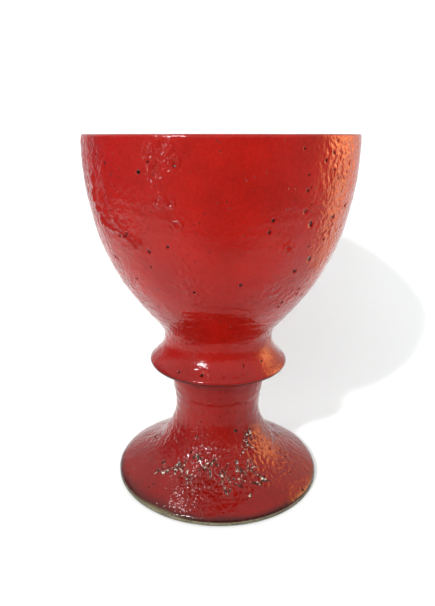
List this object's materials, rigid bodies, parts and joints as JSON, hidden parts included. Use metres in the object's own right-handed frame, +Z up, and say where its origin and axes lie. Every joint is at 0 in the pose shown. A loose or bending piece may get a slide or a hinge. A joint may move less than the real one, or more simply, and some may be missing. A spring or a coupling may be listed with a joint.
{
  "type": "footed ceramic chalice",
  "caption": "Ceramic communion chalice: deep round bowl over a flared collar and a hollow stem spreading to a wide foot, in thick red gloss glaze with a bare clay foot edge.",
  "frame": {"origin": "on the axis of the chalice, at the level of the flat ring it stands on", "axes": "+Z up the axis from the foot to the rim; +X and +Y are free, because every piece is round about Z"},
  "size_m": [0.14, 0.14, 0.192],
  "materials": {
    "stoneware": "bare fired clay, olive grey, matt and slightly gritty",
    "dried_slip": "fired slip, matt",
    "red_glaze": "thick deep red gloss glaze with pinholes, faint throwing rings and crawled patches low on the foot",
    "liner_glaze": "the same red gloss glaze, poured inside the bowl"
  },
  "bodies": {
    "root": {"bowl": "stoneware", "collar": "stoneware", "pedestal": "stoneware", "reinforcing_coil": "stoneware", "upper_slip_seam": "dried_slip", "lower_slip_seam": "dried_slip", "bowl_glaze": "red_glaze", "liner_glaze": "liner_glaze", "collar_glaze": "red_glaze", "pedestal_glaze": "red_glaze"}
  },
  "joints": []
}
